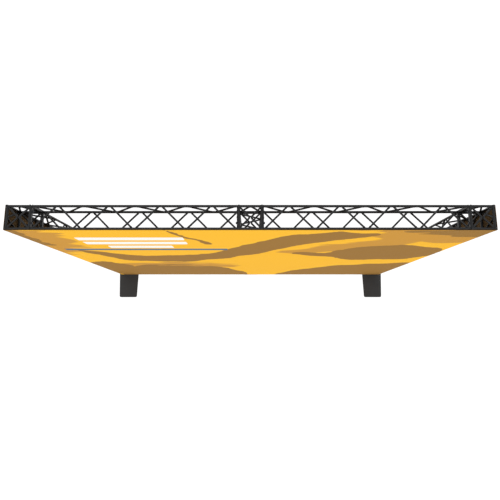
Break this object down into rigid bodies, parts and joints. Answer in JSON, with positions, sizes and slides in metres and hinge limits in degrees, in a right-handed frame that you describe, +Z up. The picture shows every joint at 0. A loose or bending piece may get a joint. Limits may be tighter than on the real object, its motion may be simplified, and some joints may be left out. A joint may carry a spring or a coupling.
{
  "type": "truss display wall",
  "caption": "Free-standing display wall: box-truss beam on box-truss towers, stretched printed fabric on the front and ends, flat steel base plates.",
  "frame": {"origin": "on the floor, under the middle of the centre tower", "axes": "+X along the wall to the viewer's right, +Y from the printed front to the rear, +Z up"},
  "size_m": [4.934, 1.104, 3.9179],
  "materials": {
    "truss": "satin black powder coat",
    "base": "fine-textured charcoal powder coat",
    "bolt": "black zinc",
    "print": "dye-sublimated knitted polyester, two-tone yellow and brown pattern",
    "strip": "black woven nylon hook strip"
  },
  "bodies": {
    "root": {"corner_block_left": "truss", "corner_block_centre": "truss", "corner_block_right": "truss", "span_left_chord_front_top": "truss", "span_left_chord_front_bottom": "truss", "span_left_chord_rear_top": "truss", "span_left_chord_rear_bottom": "truss", "span_left_lacing_top": "truss", "span_left_lacing_front": "truss", "span_left_lacing_bottom": "truss", "span_left_lacing_rear": "truss", "span_left_end_plate_left": "truss", "span_left_end_plate_right": "truss", "span_right_chord_front_top": "truss", "span_right_chord_front_bottom": "truss", "span_right_chord_rear_top": "truss", "span_right_chord_rear_bottom": "truss", "span_right_lacing_top": "truss", "span_right_lacing_front": "truss", "span_right_lacing_bottom": "truss", "span_right_lacing_rear": "truss", "span_right_end_plate_left": "truss", "span_right_end_plate_right": "truss", "tower_left_ladder_front": "truss", "tower_left_ladder_rear": "truss", "tower_left_lacing_left": "truss", "tower_left_lacing_right": "truss", "tower_centre_ladder_front": "truss", "tower_centre_ladder_rear": "truss", "tower_centre_lacing_left": "truss", "tower_centre_lacing_right": "truss", "tower_right_ladder_front": "truss", "tower_right_ladder_rear": "truss", "tower_right_lacing_left": "truss", "tower_right_lacing_right": "truss", "base_plate_left": "base", "base_plate_centre": "base", "base_plate_right": "base", "bolt_left_outer_1": "bolt", "bolt_left_outer_2": "bolt", "bolt_left_outer_3": "bolt", "bolt_left_outer_4": "bolt", "bolt_left_inner_1": "bolt", "bolt_left_inner_2": "bolt", "bolt_left_inner_3": "bolt", "bolt_left_inner_4": "bolt", "bolt_right_inner_1": "bolt", "bolt_right_inner_2": "bolt", "bolt_right_inner_3": "bolt", "bolt_right_inner_4": "bolt", "bolt_right_outer_1": "bolt", "bolt_right_outer_2": "bolt", "bolt_right_outer_3": "bolt", "bolt_right_outer_4": "bolt", "graphic_front": "print", "graphic_return_left": "print", "graphic_return_right": "print", "grip_strip_top": "strip", "grip_strip_left": "strip", "grip_strip_right": "strip"}
  },
  "joints": []
}
